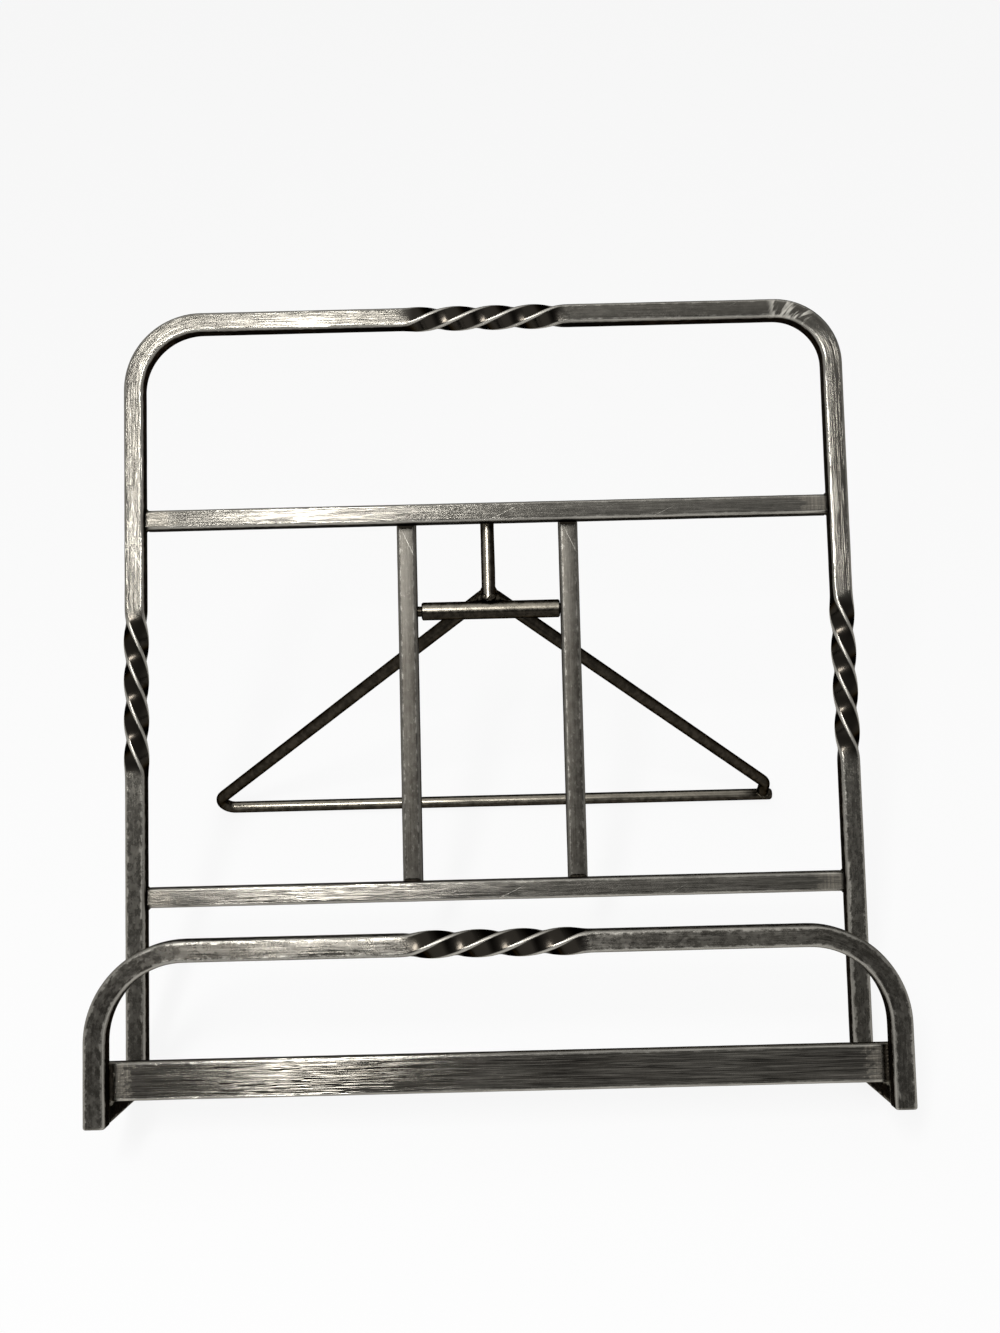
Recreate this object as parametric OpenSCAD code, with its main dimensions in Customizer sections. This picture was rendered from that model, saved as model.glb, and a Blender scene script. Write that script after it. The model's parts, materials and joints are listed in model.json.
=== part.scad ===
// Cookbook stand of welded square steel bar with a fold-out wire leg.
// Millimetres, +Z up, standing on the table at z = 0. The book faces -Y.
// The bars are modelled on the upright frame first: x to the right, y backwards from the
// back hoop's front face, z up along the hoop's sides. on_frame() then leans it all back.

/* [Bar stock] */
// Side of the square bar
bar = 8; // [6:0.5:10]
// Chamfer along the edges of the square bar
edge = 0.7; // [0.3:0.1:1.2]

/* [Back frame] */
// Width over the back hoop's sides
frame_w = 298; // [250:1:350]
// Height of the back hoop along its slope
frame_h = 317; // [290:1:370]
// Outer radius of the back hoop's top corners
frame_corner_r = 30; // [18:1:45]
// Height of the upper crossbar's centre along the slope
upper_bar_z = 231; // [218:1:245]
// Height of the lower crossbar's centre along the slope
lower_bar_z = 76; // [60:1:90]
// How far the crossbars sit behind the hoop's front face
crossbar_setback = 4; // [1:0.5:6]
// Distance of each centre upright from the middle
upright_x = 34; // [25:1:60]
// Angle by which the frame leans back from upright
lean = 38; // [32:1:42]

/* [Twists] */
// Length of each twist
twist_len = 64; // [40:1:76]
// Quarter turns in each twist
twist_quarters = 4; // [2:1:8]
// Height of the side twists' centres along the slope
side_twist_z = 159; // [135:1:180]

/* [Front hoop and ledge] */
// From the back hoop's front face to the front hoop's front face
ledge_depth = 54; // [40:1:70]
// Height of the front hoop along the slope
hoop_h = 66; // [52:1:90]
// Outer radius of the front hoop's top corners
hoop_corner_r = 36; // [20:1:45]
// Height of the flat ledge bar
ledge_h = 14; // [10:0.5:20]
// Thickness of the flat ledge bar
ledge_t = 4; // [3:0.5:6]
// Chamfer along the edges of the flat ledge bar
ledge_edge = 1; // [0.4:0.1:1.4]
// How far each end of the ledge bar stops short of the front hoop's outer face
ledge_inset = 2; // [0:0.5:5]

/* [Leg] */
// Height of the pivot along the slope
pivot_z = 191.5; // [165:0.5:200]
// Diameter of the pivot rod
pivot_d = 7.6; // [6.4:0.1:8]
// Diameter of the pivot rod's turned-down ends
tenon_d = 4.4; // [3:0.1:5]
// Length of each turned-down end inside its upright
tenon_len = 5; // [3:0.5:5.5]
// Angle of the open leg behind the vertical
leg_tilt = 16; // [12:1:26]
// Diameter of the leg's wire
wire_d = 5.8; // [5:0.1:6.6]
// Width over the leg's corners
leg_w = 283; // [220:1:320]
// Radius of the wire's bends at the leg's two corners, on its centre line
leg_bend_r = 6; // [5:0.5:10]
// Radius of the wire's bend at the apex, on its centre line
apex_bend_r = 3.6; // [3.4:0.1:6]
// Diameter of the stop rod
stop_d = 5.8; // [4.8:0.1:6.6]

/* [Welds] */
// Leg of the fillet beads between the bars
bead = 2.4; // [1.5:0.1:3]
// Radius of the weld nuggets at the leg's apex
nugget_r = 1.6; // [1.2:0.1:1.8]

/* [Fits] */
// Radial clearance of the pivot's ends in their bores
pivot_clear = 0.05; // [0.03:0.01:0.1]
// Gap from a shoulder of the pivot rod to its upright, and past an end in its bore
end_gap = 0.3; // [0.2:0.05:0.6]
// How far the pivot rod can slide between the uprights, all of it at the left end
pivot_play = 1.4; // [0:0.1:2]
// Gap from the leg's parts to the back of the frame, open and folded
back_gap = 0.3; // [0.2:0.05:0.6]
// Gap between touching rounds that a weld joins
weld_gap = 0.05; // [0.02:0.01:0.1]

/* [Hidden] */
$fn = 48;

steel = [0.42, 0.41, 0.38];
dark_steel = [0.30, 0.29, 0.27];
weld_steel = [0.48, 0.46, 0.40];

// Slices of a twist in each quarter turn, and corners of the bar's outline
slices_per_quarter = 12;
bar_corners = 8;
// Sides of the leg's wire, and steps in each of its bends
wire_sides = 16;
bend_steps = 10;

// Places on the frame
side_x = (frame_w - bar) / 2;
inner_w = frame_w - 2 * bar;
crossbar_y = crossbar_setback + bar / 2;
back_y = crossbar_setback + bar;
hoop_back_y = bar - ledge_depth;
ledge_back_y = hoop_back_y + ledge_t;

// The uprights lie on the crossbars' backs and end flush with their far edges
upright_y = back_y + bar / 2;
upright_back_y = back_y + bar;
upright_foot = lower_bar_z - bar / 2;
upright_top = upper_bar_z + bar / 2;
upright_face_x = upright_x - bar / 2;

// The pivot lets the wire fold flat behind the uprights, and the stop rod meets the crossbar's back
pivot_y = upright_back_y + back_gap - weld_gap - pivot_d / 2;
stop_y = back_y + back_gap + stop_d / 2;
stop_foot = pivot_z + pivot_d / 2 + weld_gap;

// The leaned frame: its heels' back edges touch the table, its box is centred in y
heel_rise = bar * sin(lean);
front_reach = ledge_depth * cos(lean);
frame_reach = bar * cos(lean) + (frame_h - edge) * sin(lean);
pivot_reach = pivot_y * cos(lean) + pivot_z * sin(lean);
pivot_height = pivot_z * cos(lean) - pivot_y * sin(lean) + heel_rise;

// The leg's plane lies behind the pivot rod, and its base rod touches the table
opening = lean + leg_tilt;
leg_y = (pivot_d + wire_d) / 2 + weld_gap;
base_z = -(pivot_height + leg_y * sin(leg_tilt) - wire_d / 2) / cos(leg_tilt);
leg_reach = pivot_reach + leg_y * cos(leg_tilt) - base_z * sin(leg_tilt) + wire_d / 2;
frame_shift = (front_reach - max(frame_reach, leg_reach)) / 2;

// Bends of the leg's wire: the apex passes just behind the stop rod
apex_y = stop_y + (stop_d + wire_d) / 2 + weld_gap;
apex_z = (pivot_y + leg_y * cos(opening) - apex_y) / sin(opening);
apex_bend = [0, apex_z - apex_bend_r];
left_bend = [(wire_d - leg_w) / 2 + leg_bend_r, base_z + leg_bend_r];
side_run = apex_bend - left_bend;
base_angle = atan2(side_run.y, side_run.x) - asin((leg_bend_r - apex_bend_r) / norm(side_run));

// Outline of a bar with chamfered edges, centred on the origin
function chamfered(w, h, c) = [
    for (corner = [[1, 1], [-1, 1], [-1, -1], [1, -1]])
        for (step = corner.x * corner.y > 0 ? [0, 1] : [1, 0])
            [corner.x * (w / 2 - (step == 1 ? c : 0)), corner.y * (h / 2 - (step == 1 ? 0 : c))]
];

// A point of the leg's plane mirrored across its middle
function flipped(p) = [-p.x, p.y];

// Rings of a bend: its centre, its radius and each direction from there to the wire
function bend_rings(centre, radius, from, to) = [
    for (step = [0:bend_steps])
        [centre, radius, from + (to - from) * step / bend_steps]
];

// A point of a ring, at an angle round the wire
function ring_point(centre, radius, turn, angle) =
    let (reach = radius + wire_d / 2 * cos(angle))
        [centre.x + reach * cos(turn), leg_y + wire_d / 2 * sin(angle), centre.y + reach * sin(turn)];

// Height above a round's centre of a nugget that rests on it, that far to one side
function nugget_rise(round_d, aside) = sqrt((round_d / 2 + nugget_r + weld_gap) ^ 2 - aside ^ 2);

// Puts a piece of the upright frame in its leaned place
module on_frame() {
    translate([0, frame_shift, heel_rise])
        rotate([-lean, 0, 0])
            children();
}

// Puts a piece of the leg, modelled round the pivot with z up along the leg, in its open place
module on_leg() {
    translate([0, frame_shift + pivot_reach, pivot_height])
        rotate([leg_tilt, 0, 0])
            children();
}

// Square bar that stands on the origin
module straight_bar(length) {
    linear_extrude(length)
        polygon(chamfered(bar, bar, edge));
}

// Square bar that stands on the origin, with one left-handed twist in it
module twisted_bar(length, centre) {
    start = centre - twist_len / 2;
    end = centre + twist_len / 2;
    straight_bar(start);
    translate([0, 0, start])
        linear_extrude(twist_len, twist = 90 * twist_quarters, segments = bar_corners,
            slices = slices_per_quarter * twist_quarters)
            polygon(chamfered(bar, bar, edge));
    translate([0, 0, end])
        straight_bar(length - end);
}

// Quarter bend of square bar from a standing leg at x = 0 to the top bar, towards +x
module bar_bend(outer_r) {
    centre_r = outer_r - bar / 2;
    translate([centre_r, 0, 0])
        rotate([90, 0, 0])
            rotate([0, 0, 90])
                rotate_extrude(angle = 90)
                    translate([centre_r, 0])
                        polygon(chamfered(bar, bar, edge));
}

// Inverted U with a twist in its top; its legs are the two children, standing at the origin
module hoop(height, corner_r) {
    top_w = frame_w - 2 * corner_r;
    for (side = [-1, 1])
        translate([side * side_x, 0, 0]) {
            children();
            translate([0, 0, height - corner_r])
                mirror([(side + 1) / 2, 0, 0])
                    bar_bend(corner_r);
        }
    translate([-top_w / 2, 0, height - bar / 2])
        rotate([0, 90, 0])
            twisted_bar(top_w, top_w / 2);
}

// Fillet bead along y in the corner between a floor, z = 0, and a wall at x = 0
module bead_along_y(length) {
    rotate([90, 0, 0])
        linear_extrude(length, center = true)
            polygon([[0, 0], [bead, 0], [0, bead]]);
}

module back_hoop() {
    color(steel)
        on_frame()
            translate([0, bar / 2, 0])
                hoop(frame_h, frame_corner_r)
                    twisted_bar(frame_h - frame_corner_r, side_twist_z);
}

module crossbar(height) {
    color(steel)
        on_frame()
            translate([-inner_w / 2, crossbar_y, height])
                rotate([0, 90, 0])
                    straight_bar(inner_w);
}

module upper_crossbar() {
    crossbar(upper_bar_z);
}

module lower_crossbar() {
    crossbar(lower_bar_z);
}

// Centre upright with a blind bore for the pivot in the face that looks to the middle
module centre_upright(side) {
    bore_depth = tenon_len + end_gap;
    color(steel)
        on_frame()
            difference() {
                translate([side * upright_x, upright_y, upright_foot])
                    straight_bar(upright_top - upright_foot);
                translate([side * upright_face_x, pivot_y, pivot_z])
                    rotate([0, side * 90, 0])
                        translate([0, 0, -bar])
                            cylinder(d = tenon_d + 2 * pivot_clear, h = bar + bore_depth);
            }
}

module left_upright() {
    centre_upright(-1);
}

module right_upright() {
    centre_upright(1);
}

module front_hoop() {
    color(steel)
        on_frame()
            translate([0, bar / 2 - ledge_depth, 0])
                hoop(hoop_h, hoop_corner_r)
                    straight_bar(hoop_h - hoop_corner_r);
}

module side_rail(side) {
    color(steel)
        on_frame()
            translate([side * side_x, 0, bar / 2])
                rotate([90, 0, 0])
                    straight_bar(-hoop_back_y);
}

module left_side_rail() {
    side_rail(-1);
}

module right_side_rail() {
    side_rail(1);
}

// Flat bar on edge that stands on the rails against the front hoop's legs
module ledge_bar() {
    length = frame_w - 2 * ledge_inset;
    color(steel)
        on_frame()
            translate([-length / 2, hoop_back_y + ledge_t / 2, bar + ledge_h / 2])
                rotate([0, 90, 0])
                    linear_extrude(length)
                        polygon(chamfered(ledge_h, ledge_t, ledge_edge));
}

// Beads above and below the crossbars' ends, on the hoop's inner faces
module crossbar_welds() {
    front = crossbar_setback + edge;
    back = bar - edge;
    color(weld_steel)
        on_frame()
            for (height = [upper_bar_z, lower_bar_z], side = [0, 1], under = [0, 1])
                mirror([side, 0, 0])
                    translate([-inner_w / 2, (front + back) / 2, height])
                        mirror([0, 0, under])
                            translate([0, 0, bar / 2])
                                bead_along_y(back - front);
}

// Beads on both sides of the uprights, where they lie on the crossbars' backs
module upright_welds() {
    color(weld_steel)
        on_frame()
            for (x = [-upright_x, upright_x], height = [upper_bar_z, lower_bar_z], side = [0, 1])
                translate([x, back_y, height])
                    mirror([side, 0, 0])
                        translate([bar / 2, 0, 0])
                            rotate([-90, 0, 0])
                                bead_along_y(bar - 2 * edge);
}

// Beads on the rails' tops, against the back hoop's legs
module rail_welds() {
    color(weld_steel)
        on_frame()
            for (side = [-1, 1])
                translate([side * side_x, 0, bar])
                    rotate([0, 0, -90])
                        bead_along_y(bar - 2 * edge);
}

// Beads in the corners between the ledge bar's face and the front hoop's legs
module ledge_welds() {
    color(weld_steel)
        on_frame()
            for (side = [0, 1])
                mirror([side, 0, 0])
                    translate([-inner_w / 2, hoop_back_y, bar + ledge_h / 2])
                        rotate([90, 0, 0])
                            bead_along_y(ledge_h - 2 * ledge_edge);
}

// Round rod across the middle, with a thinner end in each upright's bore.
// It is shorter than the room between the uprights and lies against the right one.
module pivot_rod() {
    body_len = 2 * (upright_face_x - end_gap) - pivot_play;
    full_len = body_len + 2 * (tenon_len + end_gap);
    color(dark_steel)
        on_leg()
            translate([pivot_play / 2, 0, 0])
                rotate([0, 90, 0]) {
                    cylinder(d = pivot_d, h = body_len, center = true);
                    cylinder(d = tenon_d, h = full_len, center = true);
                }
}

// The wire bent to a triangle round the pivot, as one closed loop of rings.
// Each ring stands square to the wire, at a turn of the bend that it belongs to.
module wire_triangle() {
    rings = concat(
        bend_rings(left_bend, leg_bend_r, 270, 90 + base_angle),
        bend_rings(apex_bend, apex_bend_r, 90 + base_angle, 90 - base_angle),
        bend_rings(flipped(left_bend), leg_bend_r, 90 - base_angle, -90)
    );
    points = [
        for (ring = rings)
            for (side = [0:wire_sides - 1])
                ring_point(ring[0], ring[1], ring[2], 360 * side / wire_sides)
    ];
    count = len(points);
    faces = [
        for (first = [0:wire_sides:count - 1])
            for (side = [0:wire_sides - 1])
                let (next_side = (side + 1) % wire_sides, next = (first + wire_sides) % count)
                    [first + side, first + next_side, next + next_side, next + side]
    ];
    polyhedron(points, faces);
}

module leg_wire() {
    color(dark_steel)
        on_leg()
            wire_triangle();
}

// Stub that stands on the pivot rod and reaches to the top of the upper crossbar's back
module stop_rod() {
    color(dark_steel)
        on_frame()
            translate([0, stop_y, stop_foot])
                cylinder(d = stop_d, h = upper_bar_z + bar / 2 - edge - stop_foot);
}

// Nuggets of weld at the stop rod's foot: one on each side on the pivot rod, one behind on the apex
module apex_weld() {
    from_stop = stop_d / 2 + nugget_r + weld_gap;
    apex_height = pivot_z + leg_y * sin(opening) + apex_z * cos(opening);
    color(weld_steel)
        on_frame() {
            for (side = [-1, 1])
                translate([side * from_stop, stop_y, pivot_z + nugget_rise(pivot_d, stop_y - pivot_y)])
                    sphere(nugget_r);
            translate([0, stop_y + from_stop, apex_height + nugget_rise(wire_d, stop_y + from_stop - apex_y)])
                sphere(nugget_r);
        }
}

// Ball of weld in the crotch of the right corner, where the wire's two ends meet
module corner_weld() {
    color(weld_steel)
        on_leg()
            translate([-left_bend.x, leg_y, left_bend.y])
                sphere(leg_bend_r - wire_d / 2 - weld_gap);
}

back_hoop();
upper_crossbar();
lower_crossbar();
left_upright();
right_upright();
front_hoop();
left_side_rail();
right_side_rail();
ledge_bar();
crossbar_welds();
upright_welds();
rail_welds();
ledge_welds();
pivot_rod();
leg_wire();
stop_rod();
apex_weld();
corner_weld();
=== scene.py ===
# %% [markdown]
# # A cookbook stand of forged square bar
# The stand is a tall hoop of square steel bar that leans back, with two crossbars, two centre
# uprights and a low front hoop whose flat bar holds the book. A bent wire leg hangs from a rod
# between the uprights and folds flat behind the frame.
# We load the imported model first. It says where every piece is, so nothing is fitted by eye, and
# its box is kept.

# %% Load the frame
import json
from math import asin, atan2, cos, pi, radians, sin, tan

import bmesh
import bpy
from mathutils import Matrix, Vector


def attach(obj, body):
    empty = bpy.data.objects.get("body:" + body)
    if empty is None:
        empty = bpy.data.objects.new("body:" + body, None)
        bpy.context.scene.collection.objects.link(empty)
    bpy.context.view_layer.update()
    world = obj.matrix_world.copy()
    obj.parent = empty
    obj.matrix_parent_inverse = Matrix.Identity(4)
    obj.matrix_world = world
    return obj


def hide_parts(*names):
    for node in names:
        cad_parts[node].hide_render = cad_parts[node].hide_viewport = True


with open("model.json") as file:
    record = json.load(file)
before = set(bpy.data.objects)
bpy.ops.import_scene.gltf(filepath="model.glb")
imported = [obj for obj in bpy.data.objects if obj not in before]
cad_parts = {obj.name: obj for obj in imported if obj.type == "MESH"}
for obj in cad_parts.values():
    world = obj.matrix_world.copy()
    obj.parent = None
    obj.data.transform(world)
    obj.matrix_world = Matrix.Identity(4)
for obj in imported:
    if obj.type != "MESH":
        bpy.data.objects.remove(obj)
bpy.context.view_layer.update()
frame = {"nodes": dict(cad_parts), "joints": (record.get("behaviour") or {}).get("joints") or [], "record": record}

# %% [markdown]
# ## Two upright workbenches
# Bars that lean are awkward to model where they stand. A smith lays the work flat on the bench, and
# we do the same: each half of the stand is turned upright about the X axis, built there with plain
# straight numbers, and turned back at the end. The lean comes from the direction of the book rest's
# face, and the leg's tilt from the angle through which it folds against that face.

# %% Turn the two halves upright
book_rest = next(m for m in frame["record"]["mounts"] if m["name"] == "back_rest_left")
fold = frame["joints"][0]
lean = atan2(book_rest["axis"][2], -book_rest["axis"][1])
tilt = radians(fold["range_deg"][1]) - lean
STAND = Matrix.Rotation(-lean, 4, "X")
LEG = Matrix.Rotation(tilt, 4, "X")


def bench_box(node, bench):
    """Lowest and highest corner of a CAD node on its upright bench."""
    upright = bench.inverted()
    points = [upright @ v.co for v in frame["nodes"][node].data.vertices]
    low = Vector([min(p[axis] for p in points) for axis in range(3)])
    high = Vector([max(p[axis] for p in points) for axis in range(3)])
    return low, high


print(f"lean {lean / pi * 180:.1f} degrees, leg {tilt / pi * 180:.1f} degrees behind the vertical")

# %% [markdown]
# ## Sizes
# Most sizes are read from the nodes on their benches. The crossbars give the bar's thickness and the
# width inside the hoop, because they have no twist that makes their box larger. What a box can't
# show, such as the radius of a bend or the length of a twist, is written here in metres.

# %% Name the sizes
EDGE_R = 0.0015
FRAME_H = 0.317
LEFT_CORNER_R = 0.032
RIGHT_CORNER_R = 0.0275
HOOP_H = 0.066
HOOP_CORNER_R = 0.036
TWIST_LEN = 0.064
TWIST_TURN = -2 * pi
SIDE_TWIST_Z = 0.159
LEG_BEND_R = 0.006
APEX_BEND_R = 0.0036
APEX_RISE = 0.003

upper_low, upper_high = bench_box("upper_crossbar", STAND)
lower_low, lower_high = bench_box("lower_crossbar", STAND)
back_low, back_high = bench_box("back_hoop", STAND)
front_low, front_high = bench_box("front_hoop", STAND)
ledge_low, ledge_high = bench_box("ledge_bar", STAND)
wire_low, wire_high = bench_box("leg_wire", LEG)
BAR = upper_high.z - upper_low.z
WIRE_D = wire_high.y - wire_low.y
SIDE_X = upper_high.x + BAR / 2
HEEL_Z = back_low.z
BACK_Y = (back_low.y + back_high.y) / 2
FRONT_Y = (front_low.y + front_high.y) / 2
print(f"bar {BAR * 1000:.1f} mm, wire {WIRE_D * 1000:.1f} mm, sides at {SIDE_X * 1000:.1f} mm")

# %% [markdown]
# ## Node trees as sums
# Both the materials and the shapes below are node trees. Laying nodes out one by one hides the idea
# behind them, so one small class wraps a socket and lets us write `1 - mask * 0.5`: each sign adds a
# Math node. Any other node comes from `add`, which takes its type, its settings and its sockets.

# %% Write node trees as expressions
class Wire:
    """An output socket. Signs between wires and numbers add Math nodes to their tree."""

    def __init__(self, sheet, socket):
        self.sheet = sheet
        self.socket = socket

    def of(self, name):
        """Another output of the same node."""
        return Wire(self.sheet, self.sheet.find(self.socket.node.outputs, name))

    def __add__(self, other):
        return self.sheet.math("ADD", self, other)

    def __sub__(self, other):
        return self.sheet.math("SUBTRACT", self, other)

    def __rsub__(self, other):
        return self.sheet.math("SUBTRACT", other, self)

    def __mul__(self, other):
        return self.sheet.math("MULTIPLY", self, other)

    def __truediv__(self, other):
        return self.sheet.math("DIVIDE", self, other)

    def __abs__(self):
        return self.sheet.math("ABSOLUTE", self)

    __radd__ = __add__
    __rmul__ = __mul__


class Sheet:
    """A node tree that is written from Python."""

    def __init__(self, tree):
        self.tree = tree

    @staticmethod
    def find(sockets, key):
        """A socket by its number, its identifier or its name."""
        if isinstance(key, int):
            return sockets[key]
        return next((s for s in sockets if s.identifier == key), None) or sockets[key]

    def add(self, kind, settings=None, values=None):
        """Adds a node and returns its first output."""
        node = self.tree.nodes.new(kind)
        for name, setting in (settings or {}).items():
            setattr(node, name, setting)
        self.feed(node, values or {})
        return Wire(self, node.outputs[0]) if node.outputs else node

    def feed(self, node, values):
        """Sets or links a node's input sockets."""
        for key, value in values.items():
            socket = self.find(node.inputs, key)
            if isinstance(value, Wire):
                self.tree.links.new(value.socket, socket)
            else:
                socket.default_value = value

    def math(self, operation, a, b=0.0):
        return self.add("ShaderNodeMath", {"operation": operation}, {0: a, 1: b})

    def vector(self, operation, a, b):
        return self.add("ShaderNodeVectorMath", {"operation": operation}, {0: a, 1: b})

    def scale(self, vector, factor):
        return self.add("ShaderNodeVectorMath", {"operation": "SCALE"}, {0: vector, "Scale": factor})

    def join(self, x, y, z):
        return self.add("ShaderNodeCombineXYZ", {}, {"X": x, "Y": y, "Z": z})

    def rise(self, value, start, end, kind="SMOOTHSTEP"):
        """0 up to start, 1 from end on. An end below the start falls instead."""
        return self.add("ShaderNodeMapRange", {"interpolation_type": kind},
                        {"Value": value, "From Min": start, "From Max": end})

    def noise(self, place, detail=2.0, roughness=0.5):
        return self.add("ShaderNodeTexNoise", {},
                        {"Vector": place, "Scale": 1.0, "Detail": detail, "Roughness": roughness})

    def mix(self, factor, a, b):
        """Colour a where the factor is 0 and b where it is 1."""
        return self.add("ShaderNodeMix", {"data_type": "RGBA"},
                        {"Factor_Float": factor, "A_Color": a, "B_Color": b}).of("Result_Color")


print("ready to write node trees")

# %% [markdown]
# ## Burnished bar
# Forged bar comes out of the fire with a skin of nearly black scale. On this stand the front and back
# faces were rubbed back to grey steel along the bar, the corners are worn bright, and the faces between
# them and the hollows of the twists keep their scale. One brushed texture for all of it would run
# straight through the bends, so each swept bar carries its own map instead: `section` is the place
# across the bar, `along` the way along it, `twisted` marks the twists and `from_end` the distance to
# its nearer end. Streaks then follow every bend. Rubbing leaves fine grooves, and as bump they smear the
# light across the bar as real brushed steel does. The pieces differ in how dark, smooth and blotched
# they are, so one function makes five finishes.

# %% Make the burnished finish
STEEL = (0.285, 0.271, 0.239, 1)
PATINA = (0.058, 0.052, 0.043, 1)
SOFT_PATINA = (0.088, 0.082, 0.070, 1)
LIGHT_PATINA = (0.112, 0.105, 0.091, 1)
DULL_PATINA = (0.038, 0.034, 0.028, 1)
TWIST_SCALE = (0.028, 0.0245, 0.020, 1)
SCALE = (0.014, 0.012, 0.010, 1)
BROWN_SCALE = (0.048, 0.037, 0.028, 1)
WORN = (0.60, 0.575, 0.515, 1)
GROUND = (0.42, 0.385, 0.325, 1)
DULL_EDGE = (0.22, 0.21, 0.19, 1)

# Cells of noise to the metre, across the bar and along it
STREAK_GRAIN = (2600, 36)
BLOTCH_GRAIN = (620, 380)
REGION_GRAIN = (30, 16)
SPECK_GRAIN = (900, 650)
GROUND_GRAIN = (70, 1500)
GROOVE_GRAIN = (4500, 36)

SCUFF_HALF = 0.010
PLAIN_ROUGHNESS = 0.42
BUMP_FILTER = 0.02


def new_material(name):
    """A material, the sheet of its nodes and its metal shader, which stays dark at a glancing look."""
    material = bpy.data.materials.new(name)
    material.use_nodes = True
    shader = material.node_tree.nodes["Principled BSDF"]
    shader.inputs["Metallic"].default_value = 1.0
    shader.inputs["Specular Tint"].default_value = DULL_EDGE
    return material, Sheet(material.node_tree), shader


def bumped(sheet, height, depth):
    """Normals of a surface whose height, from 0 to 1, is that deep in metres."""
    return sheet.add("ShaderNodeBump", {}, {"Strength": 1.0, "Distance": depth,
                                            "Filter Width": BUMP_FILTER, "Height": height})


def burnished(name, half_width, half_depth, groove, ground_len=0.0, patina=PATINA, tone=1.0, polish=1.0,
              mottled=0.2, grimy_feet=0.0, scuff_at=0.0):
    """Burnished bar of that half width and depth, with grooves that deep, in metres.

    patina is the skin's colour, tone how far bright steel shows through it, polish how smooth the front
    and back faces are, and mottled how far blotches take the place of streaks. ground_len is the length
    that is ground at each end, grimy_feet the length of blotched feet, and scuff_at the place of a scuff
    along the bar. A 0 leaves these three out.
    """
    material, sheet, shader = new_material(name)
    section = sheet.add("ShaderNodeAttribute", {"attribute_name": "section"}).of("Vector")
    along = sheet.add("ShaderNodeAttribute", {"attribute_name": "along"}).of("Fac")
    twisted = sheet.add("ShaderNodeAttribute", {"attribute_name": "twisted"}).of("Fac")
    from_end = sheet.add("ShaderNodeAttribute", {"attribute_name": "from_end"}).of("Fac")
    x = sheet.add("ShaderNodeSeparateXYZ", {}, {"Vector": section})
    y = x.of("Y")

    def grain(across, lengthwise):
        return sheet.join(x * across, y * across, along * lengthwise)

    def slanted(across, shear, lengthwise):
        return sheet.join(x * across + along * shear, y * across, along * lengthwise)

    streak = sheet.rise(sheet.noise(grain(*STREAK_GRAIN), 3, 0.6), 0.34, 0.66)
    blotch = sheet.rise(sheet.noise(grain(*BLOTCH_GRAIN), 5, 0.65), 0.35, 0.66)
    region = sheet.rise(sheet.noise(grain(*REGION_GRAIN), 2), 0.35, 0.65)
    speck = sheet.rise(sheet.noise(grain(*SPECK_GRAIN), 3, 0.6), 0.60, 0.70)
    scratch = sheet.rise(sheet.noise(slanted(900, 420, 22), 1), 0.75, 0.78)

    if grimy_feet:
        mottled = mottled + (0.8 - mottled) * sheet.rise(from_end, grimy_feet, grimy_feet * 0.5)
    ragged = blotch * blotch * (0.0002 + 0.0009 * mottled) * (twisted - 1)
    corner = sheet.math("MAXIMUM", half_width - abs(x), half_depth - abs(y)) + ragged
    worn = sheet.rise(corner, EDGE_R * 0.9, EDGE_R * 0.45) * (0.4 + 0.6 * min(polish, 1.0))
    broad = sheet.rise(half_depth - abs(y), EDGE_R * 0.7, EDGE_R * 0.2) * (1 - twisted)
    rubbed = tone * (0.36 * region + 0.64 * (mottled * blotch + (1 - mottled) * streak))
    marks = sheet.math("MAXIMUM", speck * 0.15 * mottled, scratch * 0.4)
    if scuff_at:
        strokes = sheet.rise(sheet.noise(slanted(260, 420, 160), 2), 0.46, 0.58)
        near = sheet.rise(abs(along - scuff_at), SCUFF_HALF, SCUFF_HALF * 0.6)
        marks = sheet.math("MAXIMUM", marks, strokes * near)

    face = sheet.mix(marks, sheet.mix(rubbed, patina, STEEL), WORN)
    if ground_len:
        cross_grain = sheet.rise(sheet.noise(grain(*GROUND_GRAIN), 3, 0.6), 0.3, 0.7)
        ground = sheet.rise(from_end + (blotch - 0.5) * 0.006, ground_len, ground_len * 0.7)
        face = sheet.mix(ground * (0.35 + 0.5 * cross_grain), face, GROUND)
    side = sheet.mix(twisted, sheet.mix(blotch * region, SCALE, BROWN_SCALE), TWIST_SCALE)
    colour = sheet.mix(broad, sheet.mix(worn * (0.3 + 0.45 * twisted), side, WORN), face)
    colour = sheet.mix(worn * broad * 0.5, colour, WORN)
    polished = 0.26 * polish * broad * (1 - mottled * (0.35 + 0.4 * blotch))
    roughness = PLAIN_ROUGHNESS - polished * (1 - marks) - 0.24 * twisted * (1 - worn) + 0.05 * blotch
    grooves = sheet.noise(grain(*GROOVE_GRAIN), 1) * broad + 0.3 * blotch * (1 - broad) * (1 - twisted)
    sheet.feed(shader, {"Base Color": colour, "Roughness": roughness,
                        "Normal": bumped(sheet, grooves, groove)})
    return material


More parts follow.
